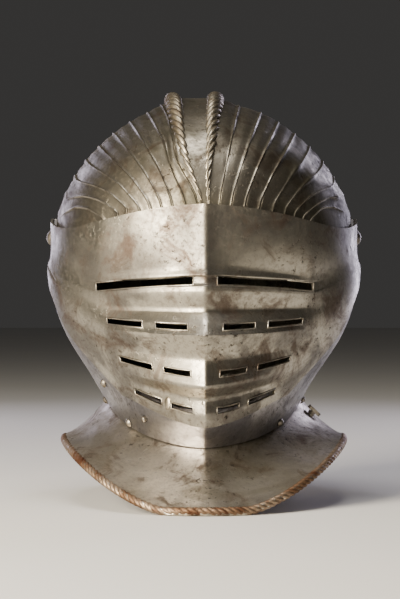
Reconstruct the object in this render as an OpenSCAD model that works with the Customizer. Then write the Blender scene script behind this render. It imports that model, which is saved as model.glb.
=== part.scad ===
// Fluted close helmet: a two-combed skull, a bellows visor and a bevor on one pair of
// pivots, with flared collar plates front and rear. The face looks to -Y, up is +Z, and
// the helmet stands on its collars with the origin at the bottom centre.

/* [Plates] */
// Thickness of the skull plate
skull_plate = 1.8; // [1.4:0.1:2.2]
// Thickness of the visor plate
visor_plate = 1.6; // [1.2:0.1:1.8]
// Thickness of the bevor plate
bevor_plate = 1.6; // [1.2:0.1:1.8]
// Thickness of the collar plates
collar_plate = 1.8; // [1.4:0.1:2.2]
// Play between plates that turn on each other
play = 0.3; // [0.3:0.05:0.5]

/* [Skull] */
// Height of the pivots above the ground
pivot_z = 181; // [178:1:184]
// Half the width of the skull at the pivots
skull_half_w = 102.2; // [101:0.2:103]
// Radius of the brow from the pivot axis
brow_r = 104; // [102:0.5:105]
// Height of the crown above the pivot axis
crown_r = 97.5; // [95:0.5:98]
// Reach of the skull behind the pivot axis
back_r = 118; // [114:1:122]
// Reach of the skull's lower part from the pivot axis
neck_r = 131; // [128:1:134]
// Height of the combs above the bowl at the crown
comb_h = 6; // [3:0.5:6.5]
// Width of the flat between the two combs at the crown
comb_gap = 18; // [14:1:22]
// Width of each comb at the crown
comb_w = 10; // [8:0.5:11]
// How far the pair of combs sits off centre at the crown
comb_offset = 5; // [0:1:6]
// Height of the flute ridges
flute_h = 1.7; // [0.8:0.1:2.2]
// Angle between flutes at the crown, in degrees
flute_step = 7.5; // [7:0.1:7.6]
// Flutes on each side of the combs
flutes = 9; // [5:1:9]

/* [Visor] */
// Gap between the visor's top edge and the skull's flutes at the brow
brow_gap = 3; // [2.2:0.1:5]
// Depth of the bellows
bellows = 1; // [0.5:0.1:1.2]
// Radius of the visor's pivot lobe
visor_lobe_r = 13.5; // [12:0.5:15]
// Height of the eye slits
eye_slit_h = 4; // [3:0.2:5]
// Height of the breathing slots
slot_h = 2.8; // [2:0.2:3.4]

/* [Bevor] */
// Radius of the bevor's pivot lobe
bevor_lobe_r = 13; // [11:0.5:14]
// Height of the bevor's upper edge at the chin
chin_z = 66; // [60:1:70]
// Height of the bevor's lower edge at the chin
neck_front_z = 40; // [36:1:44]
// Height of the neck line at the sides
neck_side_z = 76; // [72:1:80]

/* [Collars] */
// Reach of the collars to front and rear
collar_reach = 136; // [130:1:137]
// Half the width of the front collar
collar_half_w = 97; // [92:1:102]
// How far the collars' corners rise above the ground
corner_rise = 40; // [34:1:46]
// Radius of the roped edge
rope_r = 2.6; // [2.2:0.1:3.2]
// Depth of the rope's notches
rope_cut = 0.5; // [0.2:0.1:0.8]
// Notches along each roped edge
rope_turns = 26; // [20:1:28]

/* [Pivots and rivets] */
// Diameter of the pivot bolts
bolt_d = 6; // [5:0.5:7]
// Diameter of the pivot bolts' domed heads
bolt_head_d = 11; // [10:0.5:13]
// Height of the domed heads
bolt_head_h = 3.2; // [2.4:0.2:4]
// Radial play of the visor and bevor on the bolts
bolt_play = 0.06; // [0.02:0.01:0.1]
// Diameter of the rivets
rivet_d = 3; // [2.4:0.2:3.6]
// Diameter of the rivets' heads
rivet_head_d = 6; // [5:0.5:7]
// Diameter of the turning pin
pin_d = 4; // [3.4:0.2:4.6]
// Diameter of the catch stud
stud_d = 4; // [3.4:0.2:4.6]

/* [Hidden] */
$fn = 48;
pivot_y = -5;
bevor_x0 = skull_half_w + play;
visor_top_r = brow_r + flute_h + visor_plate + brow_gap;
lobe_fit = 0.4;
visor_x0 = bevor_x0 + bevor_plate + play + lobe_fit;
head_x0 = visor_x0 + visor_plate + play / 2;

function mix(a, b, t) = a + (b - a) * t;
function ease(t) = let (u = min(1, max(0, t))) u * u * (3 - 2 * u);
function unit(v) = v / max(norm(v), 1e-9);

// Smooth curve through evenly spaced values
function curve(k, t) = let (
    n = len(k) - 1, i = min(n - 1, max(0, floor(t))), f = min(1, max(0, t - i)),
    a = k[max(0, i - 1)], b = k[i], c = k[i + 1], d = k[min(n, i + 2)])
    0.5 * (2 * b + (c - a) * f + (2 * a - 5 * b + 4 * c - d) * f * f
        + (3 * b - a - 3 * c + d) * f * f * f);

// Outward normals of a grid whose rows run downwards and columns to +X
function normals(g) = let (nr = len(g) - 1, nc = len(g[0]) - 1)
    [for (j = [0:nr]) [for (i = [0:nc])
        unit(cross(g[min(nr, j + 1)][i] - g[max(0, j - 1)][i],
            g[j][min(nc, i + 1)] - g[j][max(0, i - 1)]))]];

function lifted(g, n, h) = [for (j = [0:len(g) - 1]) [for (i = [0:len(g[0]) - 1])
    g[j][i] + n[j][i] * h[j][i]]];

function level(g, h) = [for (row = g) [for (p = row) h]];

// The left half of a row mirrored from its right half, which starts at the middle
function both_sides(half) = concat(
    [for (i = [len(half) - 1:-1:1]) [-half[i][0], half[i][1], half[i][2]]], half);

// Closed plate between an outer and an inner grid, with the cells in holes left open
module plate_shell(outer, inner, holes = []) {
    nr = len(outer) - 1;
    nc = len(outer[0]) - 1;
    back = (nr + 1) * (nc + 1);
    open = [for (j = [0:nr - 1]) [for (i = [0:nc - 1])
        len([for (h = holes) if (h[0] == j && i >= h[1] && i < h[2]) 1]) > 0]];
    function at(j, i) = j * (nc + 1) + i;
    function gap(j, i) = j < 0 || i < 0 || j >= nr || i >= nc || open[j][i];
    function wall(p, q) = [[q, p, p + back], [q, p + back, q + back]];
    faces = [for (j = [0:nr - 1]) for (i = [0:nc - 1]) if (!open[j][i])
        let (a = at(j, i), b = at(j, i + 1), c = at(j + 1, i + 1), d = at(j + 1, i))
        each concat(
            [[a, b, c], [a, c, d], [a + back, c + back, b + back], [a + back, d + back, c + back]],
            gap(j - 1, i) ? wall(a, b) : [],
            gap(j, i + 1) ? wall(b, c) : [],
            gap(j + 1, i) ? wall(c, d) : [],
            gap(j, i - 1) ? wall(d, a) : [])];
    polyhedron(concat([for (row = outer) each row], [for (row = inner) each row]), faces);
}

// Closed bar from a list of equal closed sections. Each end is closed in strips, so that
// a curved section stays inside its own outline
module section_loft(rings) {
    n = len(rings[0]);
    last = len(rings) - 1;
    strips = [for (i = [0:(n - 3) / 2]) each concat(
        [[i, i + 1, n - 1 - i]], i + 1 < n - 2 - i ? [[i + 1, n - 2 - i, n - 1 - i]] : [])];
    faces = concat(
        [for (j = [0:last - 1]) for (i = [0:n - 1]) let (
            a = j * n + i, b = j * n + (i + 1) % n, c = b + n, d = a + n)
            each [[a, b, c], [a, c, d]]],
        [for (s = strips) [s[1], s[0], s[2]]],
        [for (s = strips) [for (v = s) v + last * n]]);
    polyhedron([for (r = rings) each r], faces);
}

// Skull: a fan of sections about the pivot axis. turn is 0 at the front, 90 at the crown
function skull_r(turn) = curve([brow_r, brow_r, mix(brow_r, crown_r, 0.25),
    mix(brow_r, crown_r, 0.8), crown_r, crown_r + 3, mix(crown_r, back_r, 0.62), back_r,
    back_r + 3, neck_r, neck_r, neck_r - 3], (turn + 30) / 30);

function skull_x(y, z) = let (
    dy = y - pivot_y, dz = z - pivot_z, rho = norm([dy, dz]),
    raw = atan2(dz, -dy), turn = raw < -60 ? raw + 360 : raw,
    n = mix(1.8, 2.1, ease((turn - 180) / 80)),
    reach = 1 - pow(min(1, rho / skull_r(turn)), n))
    min(skull_half_w, (skull_half_w + 1.8) * pow(max(0, reach), 1 / n));

skull_rows = 18;
first_turn = 2;
last_turn = 232;
// The skull's side edge, from the ear at the face opening down to the neck
function skull_side(t) = [
    curve([6, 5, 1, -6, -12, -17, -21, -23], t * 7),
    curve([neck_side_z, 92, 110, 127, 141, 152, 160, 166], t * 7)];
function skull_turn(j) = mix(last_turn, first_turn, j / skull_rows);

// Spread of the ridges: narrow at the brow, wide over the crown, narrower at the nape
function spread(turn) = turn < 90
    ? mix(0.57, 1, ease((turn - 5) / 70)) : mix(1, 0.6, ease((turn - 110) / 120));
function comb_up(turn) = turn < 90
    ? ease((turn - 8) / 70) : 1 - ease((turn - 105) / 110);
function flute_up(turn) = turn < 90
    ? ease((turn + 2) / 8) : 1 - ease((turn - 190) / 40);

comb_in = asin(pow(comb_gap / 2 / (skull_half_w + 1.8), 0.9));
comb_out = asin(pow((comb_gap / 2 + comb_w) / (skull_half_w + 1.8), 0.9));
first_flute = comb_out + 5;
side_steps = [0.16, 0.34, 0.55, 0.78, 1];

// Columns from the middle to the side: [angle at the crown, kind]
skull_cols = concat(
    [[0, "band"], [comb_in, "band"], [comb_in + 1.4, "comb"], [comb_out - 1.4, "comb"],
        [comb_out, "band"]],
    [for (k = [0:flutes - 1]) let (a = first_flute + k * flute_step)
        each [[a - 0.26 * flute_step, "band"], [a, "flute"], [a + 0.26 * flute_step, "band"]]],
    [for (s = side_steps) [s, "side"]]);
last_ridge = first_flute + (flutes - 1) * flute_step + 0.26 * flute_step;

function skull_point(j, col, side) = let (
    turn = skull_turn(j), r = skull_r(turn),
    m = [pivot_y - r * cos(turn), pivot_z + r * sin(turn)],
    s = skull_side(j / skull_rows), far = norm(s - m),
    squeeze = col[0] < comb_out + 1 ? mix(0.3, 1, comb_up(turn)) : 1,
    ang = spread(turn) * squeeze * min(col[0], last_ridge),
    near = r * (1 - pow(cos(spread(turn) * last_ridge), 1.11)),
    dist = col[1] == "side" ? mix(near, far, col[0]) : r * (1 - pow(cos(ang), 1.11)),
    p = m + (s - m) * dist / far,
    lean = comb_offset * comb_up(turn) * (1 - ease((col[0] - comb_out) / 12)))
    [side * skull_x(p[0], p[1]) - (col[1] == "side" ? 0 : lean), p[0], p[1]];

skull_base = [for (j = [0:skull_rows]) concat(
    [for (i = [len(skull_cols) - 1:-1:1]) skull_point(j, skull_cols[i], -1)],
    [for (c = skull_cols) skull_point(j, c, 1)])];
skull_kinds = concat([for (i = [len(skull_cols) - 1:-1:1]) skull_cols[i][1]],
    [for (c = skull_cols) c[1]]);
skull_relief = [for (j = [0:skull_rows]) [for (i = [0:len(skull_kinds) - 1])
    skull_kinds[i] == "comb" ? comb_h * comb_up(skull_turn(j))
    : skull_kinds[i] == "flute" ? flute_h * flute_up(skull_turn(j))
        * (1 - 0.75 * ease((abs(skull_base[j][i][0]) - skull_half_w + 14) / 12)) : 0]];

// Cheeks: how far they stand out past the skull's half width, by height. The bevor has this
// form, and so does the visor, one plate further out
function cheek_w(z) = skull_half_w + curve([-42.2, -37.7, -31.2, -20.7, -9.7, -1.7, 3.3, 5.3,
    4.8, 2.3, 2.3, 2.3], (z - 45) / 15);
function flat_at_pivot(x, x_flat, y, z, r, rise) = mix(x_flat, x,
    ease((norm([y - pivot_y, z - pivot_z]) - r) / rise));

// A cheeked form: half width w, reach d in front of the pivots, and the prow's sharpness
function prow_x(w, d, n) = w * pow(max(0, 1 - pow(min(1, abs(d)), n[0])), n[1]);
function prow_d(s, n) = pow(1 - pow(s, 1 / n[1]), 1 / n[0]);

// Visor rows: [height at the keel, forward bump, rise towards the cheek]
eye_z = 150.3;
slot_rows = [120, 89.6, 65.4];
visor_rows = [
    [200, 0, -10], [186, 0, -10], [171, 0, -8], [158, 0, -5],
    [eye_z + eye_slit_h / 2 + 1.4, 1.5, -4.2], [eye_z + eye_slit_h / 2, 0.4, -4],
    [eye_z - eye_slit_h / 2, 2, -4], [eye_z - eye_slit_h / 2 - 1.5, 4.5, -3.8],
    [143, 4, -2], [130.6, -3, 2], [123.4, 2.4, 3.5],
    [slot_rows[0] + slot_h / 2, 3.6, 4.2], [slot_rows[0] - slot_h / 2, 6, 4.2],
    [115, 9, 3], [99.6, -1, 8.5],
    [slot_rows[1] + slot_h / 2, 2.8, 10.3], [slot_rows[1] - slot_h / 2, 4.3, 10.3],
    [82, 7.5, 10.3], [73.3, -1, 11],
    [slot_rows[2] + slot_h / 2, 1.5, 13], [slot_rows[2] - slot_h / 2, 2.4, 13.2],
    [55, 1, 15.5]];
visor_s = [0, 0.07, 0.11, 0.21, 0.315, 0.395, 0.5, 0.62, 0.66];
visor_f = [0.22, 0.42, 0.6, 0.76, 0.88, 1];
lobe_turns = [-10, 20, 55, 90, 108, 120, 136, 150, 165];
// The visor's reach, from the pivots past its top edge, by height
function visor_front(z) = pivot_y - visor_top_r - curve([1.7, 6.7, 10.7, 6.7, 1.2,
    -visor_top_r * (1 - cos(10)), -visor_top_r * (1 - cos(16))], (z - 50) / 30);
function visor_edge_y(z) = curve([-66, -54, -43, -33, -23, -12], (z - 70) / 20);
function visor_n(z) = let (t = ease((182 - z) / 34)) [mix(1.8, 2, t), mix(0.5556, 0.88, t)];

function visor_point(j, i) = let (
    row = visor_rows[j], ns = len(visor_s),
    s = i < ns ? visor_s[i] : 1, f = i < ns ? 0 : visor_f[i - ns],
    n = visor_n(row[0]),
    zk = row[0] + row[2] * pow(min(s, visor_s[ns - 1]) / visor_s[ns - 1], 1.7),
    end = j < len(lobe_turns)
        ? [pivot_y + visor_lobe_r * sin(lobe_turns[j]), pivot_z + visor_lobe_r * cos(lobe_turns[j])]
        : let (ze = mix(74, 160, (row[0] - 55) / 75.6)) [visor_edge_y(ze), ze],
    dip = j < 2 ? (2 - j) * 3 * sin(180 * f) : 0,
    z = mix(zk, end[1], f) - dip,
    reach = pivot_y - visor_front(z),
    d0 = prow_d(min(s, visor_s[ns - 1]), n),
    d = mix(d0, (pivot_y - end[0]) / reach, f),
    swell = bellows * row[1] * (1 - ease(((i < ns ? s : mix(0.66, 1, f)) - 0.4) / 0.4)),
    y = pivot_y - d * reach,
    x = prow_x(cheek_w(z) + play + visor_plate + 0.3, d, n))
    [i == 0 ? 0 : flat_at_pivot(x, visor_x0 + visor_plate, y, z, visor_lobe_r, 11),
        y - swell, z];

visor_outer = [for (j = [0:len(visor_rows) - 1])
    both_sides([for (i = [0:len(visor_s) + len(visor_f) - 1]) visor_point(j, i)])];
visor_mid = len(visor_s) + len(visor_f) - 1;
visor_holes = concat(
    [[5, visor_mid + 1, visor_mid + 8], [5, visor_mid - 8, visor_mid - 1]],
    [for (j = [11, 15, 19]) each [
        [j, visor_mid + 2, visor_mid + 4], [j, visor_mid - 4, visor_mid - 2],
        [j, visor_mid + 5, visor_mid + 7], [j, visor_mid - 7, visor_mid - 5]]]);

// Bevor rows: the upper edge runs from the chin to the lobes, the lower one is the neck
bevor_s = [0, 0.1, 0.22, 0.36, 0.52, 0.68];
bevor_f = [0.2, 0.4, 0.6, 0.78, 0.9, 1];
bevor_n = [2, 0.8];
bevor_back_y = 13;
bevor_ends = concat(
    [for (a = [-5, 40, 85, 122]) [pivot_y + bevor_lobe_r * sin(a), pivot_z + bevor_lobe_r * cos(a)]],
    [[bevor_back_y - 3, 156], [bevor_back_y, 130], [bevor_back_y, 102], [bevor_back_y, neck_side_z]]);
bevor_last = len(bevor_ends) - 1;
function bevor_front(z) = pivot_y - visor_top_r + curve([37.3, 18.3, 8.3, 3.3, 1.3, 1.3, 3.3,
    7.3, 10.3], (z - 30) / 20);

function bevor_at(j, s, f) = let (
    zm = mix(chin_z, neck_front_z, j / bevor_last), end = bevor_ends[j],
    reach0 = pivot_y - bevor_front(zm), d_end = (pivot_y - end[0]) / reach0,
    d = mix(prow_d(s, bevor_n), d_end, f),
    z = mix(zm, end[1], pow((1 - d) / (1 - d_end), mix(2, 1.3, j / bevor_last))),
    y = pivot_y - d * mix(reach0, pivot_y - bevor_front(z), pow(1 - abs(d), 0.5)),
    x = prow_x(cheek_w(z), (pivot_y - y) / (pivot_y - bevor_front(z)), bevor_n))
    [s == 0 ? 0 : flat_at_pivot(x, bevor_x0 + bevor_plate, y, z, bevor_lobe_r + 5, 22), y, z];
function bevor_point(j, i) = let (ns = len(bevor_s))
    bevor_at(j, bevor_s[min(i, ns - 1)], i < ns ? 0 : bevor_f[i - ns]);

bevor_cols = len(bevor_s) + len(bevor_f) - 1;
bevor_outer = [for (j = [0:bevor_last])
    both_sides([for (i = [0:bevor_cols]) bevor_point(j, i)])];

// Neck lines of the bevor (front) and skull (rear), with u from -1 on the left to 1
function neck_row(rear, j, u) = let (v = abs(u), side = u < 0 ? -1 : 1)
    rear ? let (
        turn = skull_turn(j), r = skull_r(turn), s = skull_side(j / skull_rows),
        m = [pivot_y - r * cos(turn), pivot_z + r * sin(turn)],
        p = m + (s - m) * (1 - pow(cos(90 * v), 1.11)))
        [v == 0 ? 0 : side * skull_x(p[0], p[1]), p[0], p[1]]
    : let (last_s = bevor_s[len(bevor_s) - 1],
        p = bevor_at(bevor_last - j, last_s * min(1, v / 0.55), max(0, v - 0.55) / 0.45))
        [side * p[0], p[1], p[2]];
function neck(rear, u) = neck_row(rear, 0, u);
function neck_up(rear, u) = unit(neck_row(rear, 1, u) - neck_row(rear, 0, u));
function neck_out(rear, u) = let (
    along = neck(rear, min(1, u + 0.02)) - neck(rear, max(-1, u - 0.02)))
    unit(cross(rear ? neck_up(rear, u) : -neck_up(rear, u), along));

// Collars: the plate's middle line runs from a band inside the neck out to the edge
band_h = 7;
neck_fit = 0.9;
front_end = 0.933;
rear_end = 1;
rear_turn = 87.4;
front_turn = 92;
function collar_inset(rear) = (rear ? skull_plate : bevor_plate) + play + neck_fit + collar_plate / 2;
function edge_z(x) = rope_r - rope_cut - 0.4
    + corner_rise * pow(max(0, (abs(x) - 20) / (collar_half_w - 20)), 1.6);
function edge_point(rear, u) = let (
    a = rear ? rear_turn * u / rear_end : front_turn * u / front_end,
    x = (collar_half_w - (rear ? 3 : 0)) * sin(a))
    [x, (rear ? 1 : -1) * collar_reach * cos(a), edge_z(x)];
function band_point(rear, u, h) = neck(rear, u) + neck_up(rear, u) * h
    - neck_out(rear, u) * collar_inset(rear);
// Point, outward normal and downward tangent of the flare at t
function flare(rear, u, t) = let (
    a = band_point(rear, u, -1), e = edge_point(rear, u), w = e - a,
    c = a + [w[0] * 0.28, w[1] * 0.28, w[2] * 0.58],
    p = a * pow(1 - t, 2) + c * 2 * t * (1 - t) + e * t * t,
    tan = unit((c - a) * (1 - t) + (e - c) * t), h = unit([w[0], w[1], 0]),
    n = unit(h * -tan[2] + [0, 0, tan * h])) [p, n, tan];

rope_angles = [125, 62, 0, -62, -125];
function collar_ring(rear, u) = let (
    half = collar_plate / 2, out = neck_out(rear, u) * half,
    top = band_point(rear, u, band_h), low = band_point(rear, u, -1),
    f1 = flare(rear, u, 0.45), f2 = flare(rear, u, 0.85), e = flare(rear, u, 1),
    phase = 360 * rope_turns * (u + 1) / 2)
    concat([top + out, low + out, f1[0] + f1[1] * half, f2[0] + f2[1] * half],
        [for (a = rope_angles) e[0] + (e[2] * cos(a) + e[1] * sin(a))
            * (rope_r + rope_cut * cos(a + phase))],
        [f2[0] - f2[1] * half, f1[0] - f1[1] * half, low - out, top - out]);
rope_steps = 3;
module collar_blank(rear) {
    n = rope_turns * rope_steps;
    u_end = rear ? rear_end : front_end;
    difference() {
        section_loft([for (k = [0:n]) collar_ring(rear, (rear ? -1 : 1) * u_end * (1 - 2 * k / n))]);
        translate([-200, -200, -20]) cube([400, 400, 20]);
    }
}

// A frame at a point, with z along one direction and x as near as can be to another
module placed(o, z, x) {
    y = unit(cross(z, x));
    xx = cross(y, z);
    multmatrix([[xx[0], y[0], z[0], o[0]], [xx[1], y[1], z[1], o[1]], [xx[2], y[2], z[2], o[2]],
        [0, 0, 0, 1]]) children();
}
module dome(d, h) {
    r = (d * d / 4 + h * h) / (2 * h);
    intersection() {
        translate([0, 0, h - r]) sphere(r = r, $fn = 64);
        cylinder(d = d, h = h + 1);
    }
}

// Rivets through the neck, from outside the upper plate to inside the collar's band
rivet_hole_d = rivet_d + 0.1;
front_rivets = [-0.85, -0.62, 0.62, 0.85];
rear_rivets = [-0.8, -0.42, 0, 0.42, 0.8];
module at_rivets(rear) {
    for (u = rear ? rear_rivets : front_rivets)
        placed(neck(rear, u) + neck_up(rear, u) * band_h * 0.45, neck_out(rear, u), [0, 0, 1])
            children();
}
module rivet_hole() { translate([0, 0, -12]) cylinder(d = rivet_hole_d, h = 24); }
module neck_rivets(rear) {
    stack = collar_inset(rear) + collar_plate / 2;
    seat = 0.25;
    at_rivets(rear) union() {
        translate([0, 0, seat]) dome(rivet_head_d, 2);
        translate([0, 0, -stack - 1.4]) cylinder(d = rivet_d, h = stack + 1.4 + seat + 0.5);
        translate([0, 0, -stack - 1.5 - seat]) cylinder(d = rivet_head_d - 1, h = 1.5);
    }
}

module bore_x(d) {
    translate([0, pivot_y, pivot_z]) rotate([0, 90, 0]) cylinder(d = d, h = 300, center = true);
}

module skull() {
    n = normals(skull_base);
    color("darkgray") difference() {
        plate_shell(lifted(skull_base, n, skull_relief),
            lifted(skull_base, n, level(skull_base, -skull_plate)));
        bore_x(bolt_d + 2 * bolt_play);
        at_rivets(true) rivet_hole();
    }
}

module visor() {
    n = normals(visor_outer);
    color("silver") difference() {
        plate_shell(visor_outer, lifted(visor_outer, n, level(visor_outer, -visor_plate)),
            visor_holes);
        bore_x(bolt_d + 2 * bolt_play);
    }
}

// Catch: a sprung leaf inside the bevor with a stud that comes out below the visor
catch_row = 5;
function mirror_x(p) = [-p[0], p[1], p[2]];
catch_at = mirror_x(bevor_at(catch_row, 0.6, 0));
catch_root = mirror_x(bevor_at(catch_row, 0.68, 0.34));
catch_dir = unit(catch_root - catch_at);
catch_lean = cross([0, 0, 1], catch_dir) - [0, 0, 0.5];
catch_n = unit(catch_lean - catch_dir * (catch_lean * catch_dir));
leaf_t = 0.8;
leaf_w = 8;
leaf_gap = 1.3;
leaf_drop = bevor_plate + leaf_gap + leaf_t;
stud_out = 2.4;
module catch_frame() { placed(catch_at, catch_n, catch_dir) children(); }
leaf_len = norm(catch_root - catch_at);

module bevor() {
    n = normals(bevor_outer);
    color("gainsboro") difference() {
        plate_shell(bevor_outer, lifted(bevor_outer, n, level(bevor_outer, -bevor_plate)));
        bore_x(bolt_d + 2 * bolt_play);
        at_rivets(false) rivet_hole();
        catch_frame() translate([0, 0, -10]) cylinder(d = stud_d + 0.8, h = 20);
        catch_frame() translate([leaf_len, 0, -10]) cylinder(d = rivet_hole_d, h = 20);
    }
}

module catch_spring() {
    color("dimgray") catch_frame() difference() {
        translate([0, 0, -leaf_drop]) hull() {
            cylinder(d = leaf_w, h = leaf_t);
            translate([leaf_len, 0, 0]) cylinder(d = leaf_w, h = leaf_t);
        }
        translate([leaf_len, 0, -leaf_drop - 1]) cylinder(d = rivet_d + 0.6, h = leaf_t + 2);
    }
}

module catch_stud() {
    color("lightgray") catch_frame() {
        translate([0, 0, leaf_t - leaf_drop]) cylinder(d = stud_d, h = leaf_drop - leaf_t + stud_out - 1);
        translate([0, 0, stud_out - 1]) dome(stud_d, 1);
    }
}

module catch_rivet() {
    color("lightgray") catch_frame() translate([leaf_len, 0, 0]) {
        translate([0, 0, 0.8]) dome(rivet_head_d, 1.8);
        translate([0, 0, -leaf_drop - 0.6]) cylinder(d = rivet_d, h = leaf_drop + 1.6);
        translate([0, 0, -leaf_drop - 1.8]) cylinder(d = rivet_head_d - 1, h = 1.4);
    }
}

// Turning pin: it stands in a strap on the rear collar and passes an open slot in the front one
pin_frame = flare(false, front_end - 0.048, 0.4);
pin_slot_w = pin_d + 1.2;
strap_t = 1.5;
strap_w = 11;
strap_back = 28;
// The strap lies under both collars and its rivets' heads on the rear one, so their heights
// come from the rear collar's middle line there
function in_pin_frame(p) = let (d = p - pin_frame[0], z = pin_frame[1],
    y = unit(cross(z, [0, 1, 0]))) [d * cross(y, z), d * y, d * z];
strap_over = [for (u = [0.78:0.02:1]) for (t = [0.1:0.05:0.7])
    let (q = in_pin_frame(flare(true, u, t)[0]))
    if (q[0] < strap_back && abs(q[1]) < strap_w / 2 + 1) q];
strap_z = min(concat([-1.5], [for (q = strap_over) q[2]])) - collar_plate / 2 - 0.1 - strap_t;
function over_strap(x) = max([for (q = strap_over)
    if (abs(q[0] - x) < rivet_head_d * 0.6) q[2]]) + collar_plate / 2;
pin_head_gap = 2.8;
module pin_place() { placed(pin_frame[0], pin_frame[1], [0, 1, 0]) children(); }
strap_rivet_x = [15, 22];

module front_collar() {
    color("silver") difference() {
        collar_blank(false);
        at_rivets(false) rivet_hole();
        pin_place() {
            translate([0, 0, -6]) cylinder(d = pin_slot_w, h = 12);
            translate([0, -pin_slot_w / 2, -6]) cube([20, pin_slot_w, 12]);
        }
    }
}

module rear_collar() {
    color("silver") difference() {
        collar_blank(true);
        at_rivets(true) rivet_hole();
        pin_place() for (x = strap_rivet_x)
            translate([x, 0, -8]) cylinder(d = rivet_hole_d, h = 16);
    }
}

module pin_strap() {
    color("dimgray") pin_place() difference() {
        translate([0, 0, strap_z]) hull() {
            cylinder(d = strap_w, h = strap_t);
            translate([strap_back - strap_w / 2, 0, 0]) cylinder(d = strap_w, h = strap_t);
        }
        translate([0, 0, strap_z - 1]) cylinder(d = pin_d + 0.12, h = strap_t + 2);
        for (x = strap_rivet_x) translate([x, 0, strap_z - 1]) cylinder(d = rivet_hole_d, h = strap_t + 2);
    }
}

module strap_rivets() {
    color("lightgray") pin_place() for (x = strap_rivet_x) translate([x, 0, 0]) union() {
        translate([0, 0, over_strap(x)]) dome(rivet_head_d - 1, 1.6);
        translate([0, 0, strap_z - 0.5]) cylinder(d = rivet_d, h = over_strap(x) + 1 - strap_z);
        translate([0, 0, strap_z - 1.5]) cylinder(d = rivet_head_d - 1.5, h = 1.4);
    }
}

module turning_pin() {
    head_z = collar_plate / 2 + pin_head_gap;
    color("lightgray") pin_place() union() {
        translate([0, 0, strap_z - 0.4]) cylinder(d = pin_d, h = head_z - strap_z + 1);
        translate([0, 0, strap_z - 1.8]) cylinder(d = pin_d + 2.4, h = 1.5);
        translate([0, 0, head_z]) hull() for (y = [-3.4, 3.4])
            translate([0, y, 0]) cylinder(d = pin_d - 0.4, h = 2.4, $fn = 32);
    }
}

module pivot_bolt(side) {
    nut_t = 3;
    inner = skull_half_w - skull_plate - nut_t - 0.8;
    color("gray") translate([0, pivot_y, pivot_z]) rotate([0, 90 * side, 0]) union() {
        translate([0, 0, inner]) cylinder(d = bolt_d, h = head_x0 - inner + 0.5);
        translate([0, 0, head_x0]) dome(bolt_head_d, bolt_head_h);
    }
}

module pivot_nut(side) {
    nut_t = 3;
    across = 11;
    color("dimgray") translate([0, pivot_y, pivot_z]) rotate([0, 90 * side, 0]) difference() {
        translate([-across / 2, -across / 2, skull_half_w - skull_plate - nut_t - 0.2])
            cube([across, across, nut_t]);
        translate([0, 0, 80]) cylinder(d = bolt_d + 0.1, h = 40);
    }
}

module left_pivot_bolt() { pivot_bolt(-1); }
module right_pivot_bolt() { pivot_bolt(1); }
module left_pivot_nut() { pivot_nut(-1); }
module right_pivot_nut() { pivot_nut(1); }
module front_collar_rivets() { color("lightgray") neck_rivets(false); }
module rear_collar_rivets() { color("lightgray") neck_rivets(true); }

skull();
visor();
bevor();
front_collar();
rear_collar();
left_pivot_bolt();
right_pivot_bolt();
left_pivot_nut();
right_pivot_nut();
front_collar_rivets();
rear_collar_rivets();
catch_spring();
catch_stud();
catch_rivet();
pin_strap();
strap_rivets();
turning_pin();
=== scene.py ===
# %% [markdown]
# # Dressing a fluted close helmet
# A close helmet is a head of thin steel plates that turn on one pair of bolts at the temples.
# The plates, bores and joints come from the CAD model, which loads as a fixed frame. Here each
# plate gets a finer skin, its roped edges and its worn finish. The unit is the metre.

# %% Load the frame
import math
import bpy
import bmesh
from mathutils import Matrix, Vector


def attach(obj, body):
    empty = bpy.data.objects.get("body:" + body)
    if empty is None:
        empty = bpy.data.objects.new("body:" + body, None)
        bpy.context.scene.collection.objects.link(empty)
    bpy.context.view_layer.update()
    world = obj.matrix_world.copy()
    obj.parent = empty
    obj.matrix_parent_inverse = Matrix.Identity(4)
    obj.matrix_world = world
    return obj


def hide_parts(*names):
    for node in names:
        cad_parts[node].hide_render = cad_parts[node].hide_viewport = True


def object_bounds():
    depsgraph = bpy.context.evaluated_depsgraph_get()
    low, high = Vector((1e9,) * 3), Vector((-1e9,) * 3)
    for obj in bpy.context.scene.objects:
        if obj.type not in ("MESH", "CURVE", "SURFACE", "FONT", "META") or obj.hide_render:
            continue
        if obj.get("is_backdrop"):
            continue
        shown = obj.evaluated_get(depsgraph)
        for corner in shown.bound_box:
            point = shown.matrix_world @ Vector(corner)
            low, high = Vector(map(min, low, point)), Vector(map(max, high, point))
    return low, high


MM = 0.001
PIVOT = Vector((0, -5, 181)) * MM

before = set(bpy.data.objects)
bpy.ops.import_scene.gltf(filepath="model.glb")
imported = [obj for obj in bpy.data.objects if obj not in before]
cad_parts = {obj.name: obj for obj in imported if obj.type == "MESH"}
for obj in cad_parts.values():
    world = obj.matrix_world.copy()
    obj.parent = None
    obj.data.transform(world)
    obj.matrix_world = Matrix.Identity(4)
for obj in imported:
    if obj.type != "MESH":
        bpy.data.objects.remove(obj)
cad_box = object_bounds()
bpy.ops.object.select_all(action="DESELECT")
print("nodes:", len(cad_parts), "box:", [round(v / MM, 1) for v in cad_box[1] - cad_box[0]])

# %% [markdown]
# ## Camera
# The photograph was taken level and almost square on, from about one and a half metres. A
# long lens keeps the shape flat. The camera comes first, so that everything after it can be
# judged from there. Its lens follows from the real size of one pixel of the photograph.

# %% Camera
EYE_HEIGHT = 138 * MM
AIM_SIDEWAYS = -2.7 * MM
CAMERA_TURN = math.radians(-0.4)
CAMERA_DISTANCE = 1.5
PHOTO_HEIGHT_IN_PIXELS = 599
PIXEL_SIZE = 0.70 * MM
SENSOR_HEIGHT = 36

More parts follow.
